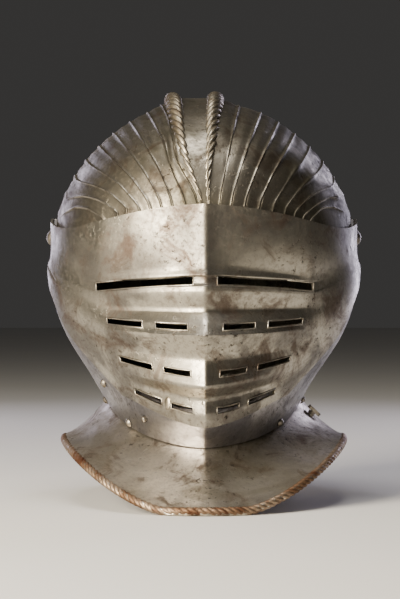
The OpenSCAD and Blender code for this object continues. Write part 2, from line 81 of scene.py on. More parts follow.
aim = Vector((AIM_SIDEWAYS, 0, EYE_HEIGHT))
place = aim + Vector((math.sin(CAMERA_TURN), -math.cos(CAMERA_TURN), 0)) * CAMERA_DISTANCE
bpy.ops.object.camera_add(location=place)
camera = bpy.context.object
camera.name = "photo_camera"
camera.rotation_euler = (aim - place).to_track_quat("-Z", "Y").to_euler()
camera.data.sensor_fit = "VERTICAL"
camera.data.sensor_height = SENSOR_HEIGHT
camera.data.lens = SENSOR_HEIGHT * CAMERA_DISTANCE / (PHOTO_HEIGHT_IN_PIXELS * PIXEL_SIZE)
bpy.context.scene.camera = camera
print("lens", round(camera.data.lens, 1))

# %% [markdown]
# ## Studio
# Polished steel has hardly any colour of its own: it shows the room. A broad soft lamp on the
# left lights the near side of every ridge, two upright strips behind draw the pale lines down
# the edges, and a dim room leaves the rest dark. The floor is plain and pale.

# %% Colours and shader nodes
def srgb(text):
    """A hex colour as linear red, green, blue and alpha."""
    parts = [int(text[i:i + 2], 16) / 255 for i in (1, 3, 5)]
    return tuple(c / 12.92 if c <= 0.04045 else ((c + 0.055) / 1.055) ** 2.4
                 for c in parts) + (1.0,)


def node(tree, kind, sockets=None, output=0, **settings):
    """Adds a shader node and returns one output. Sockets take a value or another's output."""
    made = tree.nodes.new("ShaderNode" + kind)
    for key, value in settings.items():
        setattr(made, key, value)
    for key, value in (sockets or {}).items():
        if isinstance(value, bpy.types.NodeSocket):
            tree.links.new(value, made.inputs[key])
        else:
            made.inputs[key].default_value = value
    return made.outputs[output] if made.outputs else None


def new_material(name):
    """An empty material and its node tree."""
    made = bpy.data.materials.new(name)
    made.use_nodes = True
    made.node_tree.nodes.clear()
    return made, made.node_tree


# A colour mix has its colours on inputs 6 and 7 and its result on output 2
MIX_SHARE, MIX_FIRST, MIX_SECOND, MIX_RESULT = 0, 6, 7, 2
print("middle grey as linear light:", round(srgb("#808080")[0], 3))

# %% Lamps and room
LAMPS_FACE = Vector((0, 0, 0.15))
ROOM_COLOUR, ROOM_STRENGTH = "#8b8987", 0.16


def lamp(name, where, size, watts, colour):
    """A rectangular area lamp, size wide and high, turned towards the helmet."""
    bpy.ops.object.light_add(type="AREA", location=where)
    made = bpy.context.object
    made.name = name
    made.rotation_euler = (LAMPS_FACE - made.location).to_track_quat("-Z", "Y").to_euler()
    made.data.shape = "RECTANGLE"
    made.data.size, made.data.size_y = size
    made.data.energy = watts
    made.data.color = srgb(colour)[:3]


lamp("key_left", (-0.92, -1.16, 0.48), (0.60, 0.9), 84, "#fff3dc")
lamp("edge_left", (-0.75, 1.05, 0.30), (0.26, 1.2), 6.5, "#dcd8f4")
lamp("edge_right", (0.80, 1.00, 0.30), (0.26, 1.2), 8.5, "#dcd8f4")
lamp("top_soft", (-0.10, -0.35, 1.35), (0.7, 0.5), 11, "#f7f3ee")

world = bpy.data.worlds.new("dim_room")
bpy.context.scene.world = world
world.use_nodes = True
background = world.node_tree.nodes["Background"]
background.inputs["Color"].default_value = srgb(ROOM_COLOUR)
background.inputs["Strength"].default_value = ROOM_STRENGTH

# %% Floor
FLOOR_RADIUS = 9
FLOOR_EDGE = 0.02
PAPER_PATCHES = 3.0  # in a metre

bpy.ops.mesh.primitive_circle_add(vertices=96, radius=1, fill_type="NGON")
floor = bpy.context.object
floor.name = "studio_floor"
bpy.ops.object.mode_set(mode="EDIT")
bpy.ops.mesh.inset(thickness=FLOOR_EDGE)
bpy.ops.mesh.select_all(action="SELECT")
bpy.ops.transform.resize(value=(FLOOR_RADIUS, FLOOR_RADIUS, 1))
bpy.ops.object.mode_set(mode="OBJECT")

# Matt paper: pale, a little uneven, no gloss
paper, tree = new_material("studio_paper")
where = node(tree, "TexCoord", output="Object")
grain = node(tree, "TexNoise", {"Vector": where, "Scale": PAPER_PATCHES})
tints = {MIX_SHARE: grain, MIX_FIRST: srgb("#d8d6d2"), MIX_SECOND: srgb("#dedcd8")}
shade = node(tree, "Mix", tints, MIX_RESULT, data_type="RGBA")
skin = node(tree, "BsdfPrincipled", {"Base Color": shade, "Roughness": 0.9})
node(tree, "OutputMaterial", {"Surface": skin})
floor.data.materials.append(paper)
floor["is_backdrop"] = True
print("floor faces:", len(floor.data.polygons))

# %% [markdown]
# ## The steel
# The real plates are wrought iron and low-carbon steel, hammered over a stake, ground and
# polished, then left to four centuries of cleaning. Up close that gives four things: broad
# patches of brown and grey film, small dark pits, fine rubbing marks, and a surface that
# waves a little from the hammer. An image could show them, but it would repeat or stretch on
# these curves. So each is one noise at its own real size, read from the place in space, and
# the patches also make the steel duller where they lie.

# %% Aged steel
PIT_COLOUR = "#241d18"
RUBBED_LENGTHWISE = (1.0, 1.0, 0.12)  # the cloth went up and down, so the marks are drawn out

# Each pattern: the size of its features in millimetres, detail, roughness and distortion
PATTERNS = {"film": (45, 5, 0.60, 0.6), "stain": (24, 8, 0.68, 0.8), "pits": (3.0, 4, 0.65, 0),
            "pit_fields": (34, 4, 0.60, 0), "mottle": (2.6, 6, 0.72, 0),
            "rubbing": (1.1, 3, 0.60, 0), "hammering": (17, 2, 0.50, 0),
            "waviness": (5, 3, 0.60, 0)}

# Between the first and the second value of its noise, a layer goes from the third to the fourth
LAYERS = {"film": (0.40, 0.62, 0, 1), "stain": (0.48, 0.64, 0, 1), "pits": (0.565, 0.68, 0, 1),
          "pit_fields": (0.42, 0.60, 0.18, 1), "mottle": (0.46, 0.62, 0, 1)}

# What each layer adds to the roughness, and how much of the bump's height it lifts
DULLED_BY_FILM = 0.12
DULLED_BY = {"stain": 0.16, "rubbing": 0.10, "mottle": 0.07, "pits": 0.25}
LIFTED_BY = {"hammering": 0.9, "pits": -0.28, "waviness": 0.10}
BUMP_HEIGHT, BUMP_STRENGTH = 0.8 * MM, 0.55
FLECK_SHARE = 0.30  # of the mottle shows as stain


def aged_steel(name, bright, dull, stain, stained, rough, pitted=0.5):
    """Hammered and polished iron plate: bright metal, dull film, brown stain and dark pits."""
    made, tree = new_material(name)
    at = node(tree, "TexCoord", output="Object")
    drawn_out = node(tree, "Mapping", {"Vector": at, "Scale": RUBBED_LENGTHWISE})
    layer = {}
    for key, (size, detail, roughness, distortion) in PATTERNS.items():
        vector = drawn_out if key == "rubbing" else at
        layer[key] = node(tree, "TexNoise", {
            "Vector": vector, "Scale": 1 / (size * MM), "Detail": detail, "Roughness": roughness,
            "Distortion": distortion})
    for key, limits in LAYERS.items():
        names = ("From Min", "From Max", "To Min", "To Max")
        layer[key] = node(tree, "MapRange", {"Value": layer[key], **dict(zip(names, limits))},
                          interpolation_type="SMOOTHSTEP")
    for key, amount in (("stain", stained), ("pits", layer["pit_fields"]), ("pits", pitted)):
        layer[key] = node(tree, "Math", {0: layer[key], 1: amount}, operation="MULTIPLY")
    flecks = node(tree, "Math", {0: layer["mottle"], 1: FLECK_SHARE}, operation="MULTIPLY")

    colour = srgb(bright)
    for share, tint in ((layer["film"], dull), (layer["stain"], stain), (flecks, stain),
                        (layer["pits"], PIT_COLOUR)):
        sockets = {MIX_SHARE: share, MIX_FIRST: colour, MIX_SECOND: srgb(tint)}
        colour = node(tree, "Mix", sockets, MIX_RESULT, data_type="RGBA")

    dullness = node(tree, "MapRange", {
        "Value": layer["film"], "To Min": rough, "To Max": rough + DULLED_BY_FILM},
        interpolation_type="SMOOTHSTEP")
    for key, amount in DULLED_BY.items():
        sockets = {0: layer[key], 1: amount, 2: dullness}
        dullness = node(tree, "Math", sockets, operation="MULTIPLY_ADD")
    height = 0.0
    for key, amount in LIFTED_BY.items():
        sockets = {0: layer[key], 1: amount, 2: height}
        height = node(tree, "Math", sockets, operation="MULTIPLY_ADD")
    bump = node(tree, "Bump", {
        "Height": height, "Strength": BUMP_STRENGTH, "Distance": BUMP_HEIGHT})
    skin = node(tree, "BsdfPrincipled", {
        "Base Color": colour, "Metallic": 1.0, "Roughness": dullness, "Normal": bump})
    node(tree, "OutputMaterial", {"Surface": skin})
    return made


# %% [markdown]
# ## Eight finishes
# One recipe makes all the steels, because the plates came from one workshop. What differs is
# how each was used and cleaned, and two also carry painted light: the collars' pale colour is
# partly a painted highlight, and the bevor's lilac tint is a painted reflection. A brighter
# colour with a lower roughness gives sharper highlights, and more stain breaks them up.

# %% The steels
# The skull's plate was handled least: brown-grey, soft highlights, much stain
skull_steel = aged_steel("hammered_steel_skull", "#9b9486", "#5c584c", "#3b3128",
                         stained=0.78, rough=0.29, pitted=0.8)
# The visor was polished most often: brighter, with a sharper highlight
visor_steel = aged_steel("polished_steel_visor", "#bab4a6", "#76726b", "#4f3d32",
                         stained=0.68, rough=0.26, pitted=0.8)
# The bevor lies under the visor: less stain. Its cool lilac-grey colour is a painted reflection,
# standing in for the lilac cast that reflection gives its chin
bevor_steel_and_reflection = aged_steel("polished_steel_bevor", "#a8a5a6", "#727074", "#463d39",
                         stained=0.50, rough=0.26, pitted=0.7)
# The collars caught sweat and rain: deeply stained and pitted. Their pale base colour is partly
# their own bright steel and partly a painted highlight, raised to stand in for the key lamp's
# broad highlight on the collars' lower left
collar_steel_and_highlight = aged_steel("hammered_steel_collar", "#cfc7ba", "#8c8577", "#4a3a2d",
                          stained=0.85, rough=0.31, pitted=1.0)
# The combs' ropes stand proud, so hands kept their lobes bright
rope_steel = aged_steel("rubbed_steel_rope", "#b0a795", "#7a7162", "#40301f",
                        stained=0.80, rough=0.29, pitted=0.8)
# The collars' roped edges rusted where the polishing cloth missed them: brown and dull
edge_rust = aged_steel("rusted_steel_rope", "#9c8a76", "#725a46", "#4f3122",
                       stained=0.90, rough=0.42, pitted=0.9)
# Rivet, bolt and pin heads: plain grey, worn smooth
fitting_steel = aged_steel("worn_steel_fittings", "#a29b90", "#6d675f", "#43352b",
                           stained=0.5, rough=0.33)
# Nuts, spring and strap were left black from the forge: dark and rough
dark_iron = aged_steel("black_forged_iron", "#5d5854", "#3b3734", "#2b221c",
                       stained=0.6, rough=0.5)
print("steels made:", len([m for m in bpy.data.materials if "steel" in m.name]))

# %% [markdown]
# ## Finer plates
# A CAD plate is a cage of flat faces. The same cage, merged and turned back into quads, takes
# a Subdivision Surface: the plate then curves as hammered metal does, and creases hold its
# rims, ridges and slit edges where they are. Each finer plate stands for its CAD node.

# %% Select, edit and modify
def only(piece):
    """Selects one object alone and makes it the active one."""
    bpy.ops.object.select_all(action="DESELECT")
    piece.select_set(True)
    bpy.context.view_layer.objects.active = piece


def open_mesh(piece):
    """Opens a piece in edit mode and returns its mesh."""
    only(piece)
    bpy.ops.object.mode_set(mode="EDIT")
    return bmesh.from_edit_mesh(piece.data)


def close_mesh(piece):
    """Keeps what was edited and leaves edit mode."""
    bmesh.update_edit_mesh(piece.data)
    bpy.ops.object.mode_set(mode="OBJECT")


def use_modifier(piece, kind, **settings):
    """Adds a modifier with its settings and applies it."""
    only(piece)
    added = piece.modifiers.new(kind.title(), kind)
    for key, value in settings.items():
        setattr(added, key, value)
    bpy.ops.object.modifier_apply(modifier=added.name)


# %% A finer copy of a CAD plate
SMOOTH_BELOW = math.radians(35)
SAME_POINT = 0.01 * MM
QUAD_BEND, QUAD_SKEW = math.radians(50), math.radians(75)
RIM_FROM = 60  # degrees: sharper folds than this are a plate's rims
FULL_CREASE = 1.0


def cage_of(cad, name):
    """A loose copy of a CAD node, merged and turned into quads."""
    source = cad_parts[cad]
    piece = source.copy()
    piece.data = source.data.copy()
    piece.parent = None
    piece.name = name
    for key in list(piece.keys()):
        del piece[key]
    piece.data.materials.clear()
    bpy.context.collection.objects.link(piece)
    only(piece)
    bpy.ops.object.mode_set(mode="EDIT")
    bpy.ops.mesh.select_all(action="SELECT")
    bpy.ops.mesh.remove_doubles(threshold=SAME_POINT)
    bpy.ops.mesh.tris_convert_to_quads(face_threshold=QUAD_BEND, shape_threshold=QUAD_SKEW)
    bpy.ops.object.mode_set(mode="OBJECT")
    return piece


def crease_where(piece, test, amount):
    """Creases every edge for which test(edge, angle between its faces in degrees) is true."""
    mesh = open_mesh(piece)
    floats = mesh.edges.layers.float
    creases = floats.get("crease_edge") or floats.new("crease_edge")
    count = 0
    for edge in mesh.edges:
        if len(edge.link_faces) == 2 and test(edge, math.degrees(edge.calc_face_angle(0))):
            edge[creases] = max(edge[creases], amount)
            count += 1
    close_mesh(piece)
    return count


def finish_plate(piece, levels, steel, cad, body):
    """Subdivides, smooths, dresses and places a finer plate in its CAD node's stead."""
    use_modifier(piece, "SUBSURF", levels=levels, render_levels=levels)
    only(piece)
    bpy.ops.object.shade_smooth_by_angle(angle=SMOOTH_BELOW)
    piece.data.materials.append(steel)
    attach(piece, body)
    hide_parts(cad)
    print(piece.name, "faces:", len(piece.data.polygons))


# %% Turns about the pivot axis
# The skull is laid out in turns about the bolts' axis: 0 degrees is the front, 90 the crown
def from_axis(point):
    """Distance of a point from the pivot axis, and its turn about it in degrees."""
    arm = point - PIVOT
    return math.hypot(arm.y, arm.z), math.degrees(math.atan2(arm.z, -arm.y))


def outward(degrees):
    """The direction away from the pivot axis at this turn."""
    return Vector((0, -math.cos(math.radians(degrees)), math.sin(math.radians(degrees))))


def smooth_step(low, high, value):
    """0 below low, 1 above high and a soft S between them."""
    t = min(1, max(0, (value - low) / (high - low)))
    return t * t * (3 - 2 * t)


print("the skull's top is at turn", round(from_axis(Vector((0, 0, cad_box[1].z)))[1]))

# %% [markdown]
# ## Skull
# The skull was raised from one sheet, and its flutes were driven in with a chisel-shaped
# stake: narrow ridges with a fine line on each side, fanning from the brow. The CAD has them
# as broad folds. Here its own points are moved, so that the plate keeps its inner face: the
# feet of each fold come together, its ridge sinks, and the band between two ridges swells. A
# partial crease keeps a ridge narrow without making it a knife edge. The rims get a full one.

# %% Find and draw the flutes
COMB_STRIP = 6 * MM  # the middle of the skull has no flutes
FLUTE_SPAN = 11 * MM  # two feet further apart than this don't belong to one flute
SOFTEST_FOLD, SHARPEST_FOLD = 30, 110
BROW_RELIEF, CROWN_RELIEF = 0.14, 0.48  # how much of the CAD's height a ridge keeps
RELIEF_GROWS = (10, 60)  # the turns between which it goes from the one to the other
SWELL_GROWS = (0, 60)


def outside(vert):
    """True for a vertex on the skull's outer face, whose normal points away from its middle."""
    return vert.normal.dot(vert.co - PIVOT) > 0


def flute_ridges(mesh):
    """Each point on a flute's ridge, with the two points at its feet."""
    ridges = {}
    for vert in mesh.verts:
        if not outside(vert) or len(vert.link_edges) != 4 or abs(vert.co.x) < COMB_STRIP:
            continue
        by_fold = sorted(vert.link_edges, key=lambda e: e.calc_face_angle_signed(0), reverse=True)
        fold = math.degrees(by_fold[1].calc_face_angle_signed(0))
        pair = [e.other_vert(vert) for e in by_fold[2:]]
        if SOFTEST_FOLD < fold <= SHARPEST_FOLD and all(outside(v) for v in pair):
            ridges[vert] = pair
    # A ridge's last point lies on the plate's rim: its feet are found across the last faces
    for vert, pair in list(ridges.items()):
        for edge in vert.link_edges:
            end = edge.other_vert(vert)
            if end not in ridges and end not in pair:
                ridges[end] = [v for f in edge.link_faces for v in f.verts
                               if v not in (vert, end) and v not in pair]
    return ridges


def draw_flutes(piece, width, groove, swell):
    """Narrows each flute to a low ridge between two fine lines and swells the bands between."""
    mesh = open_mesh(piece)
    ridges = flute_ridges(mesh)
    moves = {}
    for vert, pair in ridges.items():
        if len(pair) != 2 or (pair[0].co - pair[1].co).length > FLUTE_SPAN:
            continue
        middle = (pair[0].co + pair[1].co) / 2
        _, degrees = from_axis(vert.co)
        grown = smooth_step(*RELIEF_GROWS, degrees)
        relief = BROW_RELIEF + (CROWN_RELIEF - BROW_RELIEF) * grown
        moves[vert] = middle + (vert.co - middle) * relief
        for foot in pair:
            moves[foot] = middle + (foot.co - middle) * width - foot.normal * groove
    feet = {foot for vert, pair in ridges.items() if vert in moves for foot in pair}
    beside = {side for vert in ridges for face in vert.link_faces for side in face.edges}
    for vert, where in moves.items():
        vert.co = where
    bands = [e for e in mesh.edges if set(e.verts) <= feet and e not in beside]
    bpy.ops.mesh.select_mode(type="EDGE")
    bpy.ops.mesh.select_all(action="DESELECT")
    for edge in bands:
        edge.select = True
    count = len(mesh.verts)
    bpy.ops.mesh.subdivide(number_cuts=1)
    mesh = bmesh.from_edit_mesh(piece.data)
    mesh.normal_update()
    mesh.verts.ensure_lookup_table()
    for vert in mesh.verts[count:]:
        _, degrees = from_axis(vert.co)
        vert.co += vert.normal * swell * smooth_step(*SWELL_GROWS, degrees)
    close_mesh(piece)
    print("ridge points", len(ridges), "moved", len(moves), "bands split", len(bands))


skull = cage_of("skull", "skull_plate")
draw_flutes(skull, width=0.36, groove=0.25 * MM, swell=0.7 * MM)

# %% [markdown]
# In the CAD the flutes bend towards the brow. On the real skull they run straight from the
# crown and only draw together. The skull's section is an oval, so a flute is followed by its
# angle round that oval: each point is given a new angle and put back on the oval.

# %% Fan the flutes
BOWL_HALF_WIDTH = 103 * MM
OVAL_POWER = 1.8
BENT_SHARE = 0.57  # of a flute's angle at the crown that the CAD leaves at the brow
BEND_FADES = (5, 75)  # the turns between which the CAD's bend fades out
BROW_SINE = 0.14  # the brow lies 8 degrees above the bolts
NEAR_AXIS = 30 * MM  # points this near to the bolts stay, so that their holes keep their place
FAN_FROM, FAN_TO = (9, 18), (72, 86)  # crown angles where the fan sets in and where it ends
RIGHT_DRAW, RIGHT_INNER_DRAW, RIGHT_INNER = 6.6, 2.5, (20, 30)
LEFT_DRAW, LEFT_FADES = 4.6, (20, 58)
LEAST_DEPTH, LEAST_ANGLE = 0.02, 0.5  # keep the oval's formula away from zero


def oval_depth(x):
    """How far the oval reaches from the axis at x, as a share of its reach in the middle."""
    left = 1 - min(1, x / BOWL_HALF_WIDTH) ** OVAL_POWER
    return max(LEAST_DEPTH, left) ** (1 / OVAL_POWER)


def drawn_inwards(x, column):
    """How many degrees a flute's foot comes towards the middle, by side and crown angle."""
    if x < 0:
        return RIGHT_DRAW + RIGHT_INNER_DRAW * (1 - smooth_step(*RIGHT_INNER, column))
    return LEFT_DRAW * (1 - smooth_step(*LEFT_FADES, column))


def fan_flutes(piece):
    """Straightens the flutes' run from crown to brow and draws their lower ends together."""
    for vert in piece.data.vertices:
        far, degrees = from_axis(vert.co)
        x = abs(vert.co.x)
        if not 0 < degrees < 90 or far < NEAR_AXIS:
            continue
        angle = math.degrees(math.asin(min(1, x / BOWL_HALF_WIDTH) ** (OVAL_POWER / 2)))
        bent = BENT_SHARE + (1 - BENT_SHARE) * smooth_step(*BEND_FADES, degrees)
        risen = max(0, (math.sin(math.radians(degrees)) - BROW_SINE) / (1 - BROW_SINE))
        column = angle / bent
        straight = (column * (BENT_SHARE + (1 - BENT_SHARE) * risen)
                    - drawn_inwards(vert.co.x, column) * (1 - risen))
        part = smooth_step(*FAN_FROM, column) * (1 - smooth_step(*FAN_TO, column))
        new_angle = math.radians(max(LEAST_ANGLE, angle + (straight - angle) * part))
        new_x = BOWL_HALF_WIDTH * math.sin(new_angle) ** (2 / OVAL_POWER)
        grow = oval_depth(new_x) / oval_depth(x)
        arm = vert.co - PIVOT
        vert.co = (math.copysign(new_x, vert.co.x) if part else vert.co.x,
                   PIVOT.y + arm.y * grow, PIVOT.z + arm.z * grow)
    piece.data.update()


fan_flutes(skull)
print("points before the crown:", sum(0 < from_axis(v.co)[1] < 90 for v in skull.data.vertices))

# %% Lean the right comb and finish the skull
COMB_LEAN = 7.5 * MM
LEAN_GROWS, LEAN_EASES, EASED_SHARE = (8, 26), (34, 84), 0.8
LEAN_TURNS = (5, 130)
INNER_FLANK, OUTER_FLANK = (0, 5 * MM), (11 * MM, 27 * MM)
MIDDLE_LINE = 0.5 * MM  # points nearer to the middle than this stay
SKULL_RIM_FROM, FLUTE_FOLD_FROM = 75, 12  # degrees
FLUTE_CREASE = 0.45


def leaning(degrees):
    """How far the comb on the wearer's right leans outwards, by turn."""
    eased = 1 - EASED_SHARE * smooth_step(*LEAN_EASES, degrees)
    return COMB_LEAN * smooth_step(*LEAN_GROWS, degrees) * eased


def lean_right_comb(piece):
    """Leans the comb on the wearer's right outwards on its way down to the brow."""
    mesh = open_mesh(piece)
    for vert in mesh.verts:
        _, degrees = from_axis(vert.co)
        out = -vert.co.x
        if LEAN_TURNS[0] < degrees < LEAN_TURNS[1] and MIDDLE_LINE < out < OUTER_FLANK[1]:
            near = smooth_step(*INNER_FLANK, out) * (1 - smooth_step(*OUTER_FLANK, out))
            vert.co.x -= leaning(degrees) * near
    close_mesh(piece)


lean_right_comb(skull)
rims = crease_where(skull, lambda edge, angle: angle > SKULL_RIM_FROM, FULL_CREASE)
ridges = crease_where(
    skull, lambda edge, angle: FLUTE_FOLD_FROM < angle <= SKULL_RIM_FROM, FLUTE_CREASE)
print("skull rims", rims, "ridge edges", ridges)
finish_plate(skull, 2, skull_steel, "skull", "skull")

# %% [markdown]
# ## Visor
# The visor is folded into bellows, sharp outside and rounded inside, so its folds get a firm
# crease and its slits a full one. Its keel was hammered out to an edge that runs from the top
# edge to the lowest fold, and so it gets a sharper crease and stands a little further out.

# %% Visor and its keel
KEEL_OUT = 2.2 * MM
KEEL_HALF_WIDTH, KEEL_BEFORE, KEEL_FROM = 0.2 * MM, -60 * MM, 150 * MM
BELLOWS_FOLD_FROM = 16  # degrees
BELLOWS_CREASE, KEEL_CREASE = 0.6, 0.95


def on_keel(vert):
    """True for a vertex on the visor's middle line, outside."""
    return abs(vert.co.x) < KEEL_HALF_WIDTH and vert.co.y < KEEL_BEFORE


visor = cage_of("visor", "visor_plate")
crease_where(visor, lambda edge, angle: angle > RIM_FROM, FULL_CREASE)
folds = crease_where(
    visor, lambda edge, angle: BELLOWS_FOLD_FROM < angle <= RIM_FROM, BELLOWS_CREASE)
mesh = open_mesh(visor)
for vert in mesh.verts:
    vert.select = on_keel(vert) and vert.co.z > KEEL_FROM
mesh.select_flush_mode()
bmesh.update_edit_mesh(visor.data)
bpy.ops.transform.translate(value=(0, -KEEL_OUT, 0))
bpy.ops.object.mode_set(mode="OBJECT")
keel = crease_where(
    visor, lambda edge, angle: all(on_keel(v) for v in edge.verts), KEEL_CREASE)
print("fold edges", folds, "keel edges", keel)

# %% [markdown]
# The slits were cut out of the folds and their edges dressed with a file. Their upper and
# lower walls move apart a little, and a fine bead is laid round each mouth: the mouth's own
# edges, copied and given a round section. Nothing has to be cut, because the CAD has the
# holes already: the narrow faces that line them are the walls.

# %% Find the slit walls and open the slits
TOP_EDGE_FROM = 170 * MM  # faces above this belong to the visor's top edge
LOW_EDGE_AT_KEEL = 55.6 * MM  # the lower edge's height at the keel
LOW_EDGE_RISE = 0.414  # and its rise to the sides
SIDE_EDGE_LOW, SIDE_EDGE_HIGH, SIDE_EDGE_STEP = -75 * MM, -45 * MM, 110 * MM
WALL_WIDTH = 2.4 * MM  # a little more than the plate's thickness
WALL_CORNER = 55  # degrees: a wall meets the plate's faces at least this sharply
LEVEL, QUITE_LEVEL = 0.5, 0.75  # how far up or down a wall's normal points
EYE_SLITS_FROM = 140 * MM
EYE_SLIT_GAIN, BREATH_GAIN = 0.9 * MM, 0.75 * MM


def on_rim(point):
    """True for a place on the visor's outer edge."""
    side_edge = SIDE_EDGE_LOW if point.z < SIDE_EDGE_STEP else SIDE_EDGE_HIGH
    low_edge = LOW_EDGE_AT_KEEL + LOW_EDGE_RISE * abs(point.x)
    return point.z > TOP_EDGE_FROM or point.z < low_edge or point.y > side_edge


def slit_walls(mesh):
    """The narrow faces that line the slits, as wide as the plate is thick, without the rims."""
    found = []
    for face in mesh.faces:
        sharp = [e for e in face.edges if math.degrees(e.calc_face_angle(0)) > WALL_CORNER]
        narrow = min(e.calc_length() for e in face.edges) < WALL_WIDTH
        half = len(face.verts) == 3 and sharp and abs(face.normal.z) > QUITE_LEVEL
        if narrow and not on_rim(face.calc_center_median()) and (len(sharp) >= 2 or half):
            found.append(face)
    return found


mesh = open_mesh(visor)
walls = slit_walls(mesh)
shift = {}
for face in walls:
    if abs(face.normal.z) > LEVEL:
        gain = EYE_SLIT_GAIN if face.calc_center_median().z > EYE_SLITS_FROM else BREATH_GAIN
        for vert in face.verts:
            shift[vert] = gain if face.normal.z < 0 else -gain
for vert, gap in shift.items():
    vert.co.z += gap
print("slit wall faces", len(walls), "points moved", len(shift))

# %% Lay a bead round each mouth
INSIDE_Y = 20 * MM  # a place inside the helmet, behind the visor
BEAD_RADIUS = 0.65 * MM

mouth = set()
for face in walls:
    for edge in face.edges:
        other = [f for f in edge.link_faces if f is not face]
        if other and other[0] not in walls:
            middle = (edge.verts[0].co + edge.verts[1].co) / 2
            if other[0].normal.dot(middle - Vector((0, INSIDE_Y, middle.z))) > 0:
                mouth.add(edge)
bpy.ops.mesh.select_all(action="DESELECT")
bpy.ops.mesh.select_mode(type="EDGE")
for edge in mouth:
    edge.select = True
print("mouth edges", len(mouth))
bmesh.update_edit_mesh(visor.data)
bpy.ops.mesh.duplicate()
bpy.ops.mesh.separate(type="SELECTED")
bpy.ops.object.mode_set(mode="OBJECT")
beads = [o for o in bpy.context.selected_objects if o is not visor][0]
beads.name = "visor_slit_beads"
only(beads)
bpy.ops.object.convert(target="CURVE")
beads.data.bevel_depth = BEAD_RADIUS
beads.data.bevel_resolution = 3
bpy.ops.object.convert(target="MESH")
bpy.ops.object.shade_smooth()
beads.data.materials.clear()
beads.data.materials.append(visor_steel)
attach(beads, "visor")
finish_plate(visor, 2, visor_steel, "visor", "visor")

# %% [markdown]
# ## Repair plug
# An old break between two slots of the lowest row was mended with an oval plug, riveted over
# and filed almost flush. A flattened ball sunk into the plate shows just its low dome. Its
# place and tilt come from a ray that meets the visor there.

# %% Repair plug
PLUG_X, PLUG_Z = -24.5 * MM, 70.2 * MM
PLUG_HALF_SIZES = (2.6 * MM, 4.4 * MM, 0.9 * MM)
IN_FRONT = -300 * MM

_, spot, normal, _ = visor.ray_cast(Vector((PLUG_X, IN_FRONT, PLUG_Z)), Vector((0, 1, 0)))
bpy.ops.mesh.primitive_uv_sphere_add(segments=32, ring_count=16, location=spot,
                                     rotation=normal.to_track_quat("Z", "Y").to_euler(),
                                     scale=PLUG_HALF_SIZES)
plug = bpy.context.object
plug.name = "visor_repair_plug"
bpy.ops.object.transform_apply(location=True, rotation=True, scale=True)
bpy.ops.object.shade_smooth()
plug.data.materials.append(rope_steel)
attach(plug, "visor")
print("plug at", [round(v / MM, 1) for v in spot])

# %% [markdown]
# ## Bevor and collars
# The bevor is a plain plate under the visor. The front and rear collars flare out over the
# shoulders. All three only need rounder curves and crisp rims.

# %% Bevor and collars
BEVOR_FOLD_FROM = 20  # degrees
BEVOR_CREASE = 0.5

bevor = cage_of("bevor", "bevor_plate")
crease_where(bevor, lambda edge, angle: angle > RIM_FROM, FULL_CREASE)
crease_where(bevor, lambda edge, angle: BEVOR_FOLD_FROM < angle <= RIM_FROM, BEVOR_CREASE)
finish_plate(bevor, 2, bevor_steel_and_reflection, "bevor", "bevor")

for cad, body in (("front_collar", "bevor"), ("rear_collar", "skull")):
    collar = cage_of(cad, cad + "_plate")
    crease_where(collar, lambda edge, angle: angle > RIM_FROM, FULL_CREASE)
    finish_plate(collar, 1, collar_steel_and_highlight, cad, body)

# %% [markdown]
# ## Roped combs
# Two roped combs run over the crown. A roped ridge is a round bar with slanting lobes: the
# Screw modifier raises a lobed section while it turns, and the Curve modifier lays the bar
# along the comb, with the curve's own radius tapering it towards brow and nape. Twisted
# strands would look the same, but this way the bar is one closed skin, as on solid metal.

# %% A rope along a path
POINTS_PER_LOBE = 6
RINGS_PER_LOBE = 5
FEWEST_RINGS = 8
LOBES_SMOOTH_BELOW = math.radians(50)


def rope(name, path, radii, lobes, pitch, hand, relief):
    """A lobed bar along path. radii shape it, pitch is its length for one full turn."""
    length = sum((b - a).length for a, b in zip(path, path[1:]))
    largest = max(radii)
    bpy.ops.mesh.primitive_circle_add(vertices=lobes * POINTS_PER_LOBE, radius=largest)
    bar = bpy.context.object
    bar.name = name
    mesh = open_mesh(bar)
    for vert in mesh.verts:
        around = math.atan2(vert.co.y, vert.co.x)
        vert.co *= 1 - relief * (1 - abs(math.cos(around * lobes / 2)))
    close_mesh(bar)
    rings = max(FEWEST_RINGS, int(length / pitch * lobes * RINGS_PER_LOBE))
    use_modifier(bar, "SCREW", angle=hand * math.tau * length / pitch, screw_offset=length,
                 iterations=1, steps=rings, render_steps=rings, axis="Z", use_smooth_shade=True)
    bpy.ops.curve.primitive_nurbs_path_add()
    guide = bpy.context.object
    guide.data.splines.clear()
    line = guide.data.splines.new("POLY")
    line.points.add(len(path) - 1)
    for point, where, size in zip(line.points, path, radii):
        point.co = (*where, 1)
        point.radius = size / largest
    guide.data.dimensions = "3D"
    use_modifier(bar, "CURVE", object=guide, deform_axis="POS_Z")
    bpy.data.objects.remove(guide)
    only(bar)
    bpy.ops.object.mode_set(mode="EDIT")
    bpy.ops.mesh.select_all(action="DESELECT")
    bpy.ops.mesh.select_mode(type="EDGE")
    bpy.ops.mesh.select_non_manifold()
    bpy.ops.mesh.fill_holes(sides=0)
    bpy.ops.mesh.select_all(action="SELECT")
    bpy.ops.mesh.normals_make_consistent(inside=False)
    bpy.ops.object.mode_set(mode="OBJECT")
    bpy.ops.object.shade_smooth_by_angle(angle=LOBES_SMOOTH_BELOW)
    print(name, "rings:", rings)
    return bar


# %% [markdown]
# The ropes have to lie on the skull's own combs, which lean and taper. A ray towards the
# pivot axis, for each turn and each distance from the middle, gives the height of the skull
# there. The highest place on each side of the middle line is a comb's crest.

# %% Find the combs' crests
RAY_FROM = 0.3  # well outside the skull
CREST_STEP, FIRST_STEP = 0.4 * MM, 2
COMB_GROWS, COMB_FADES = (8, 78), (105, 215)  # degrees of turn


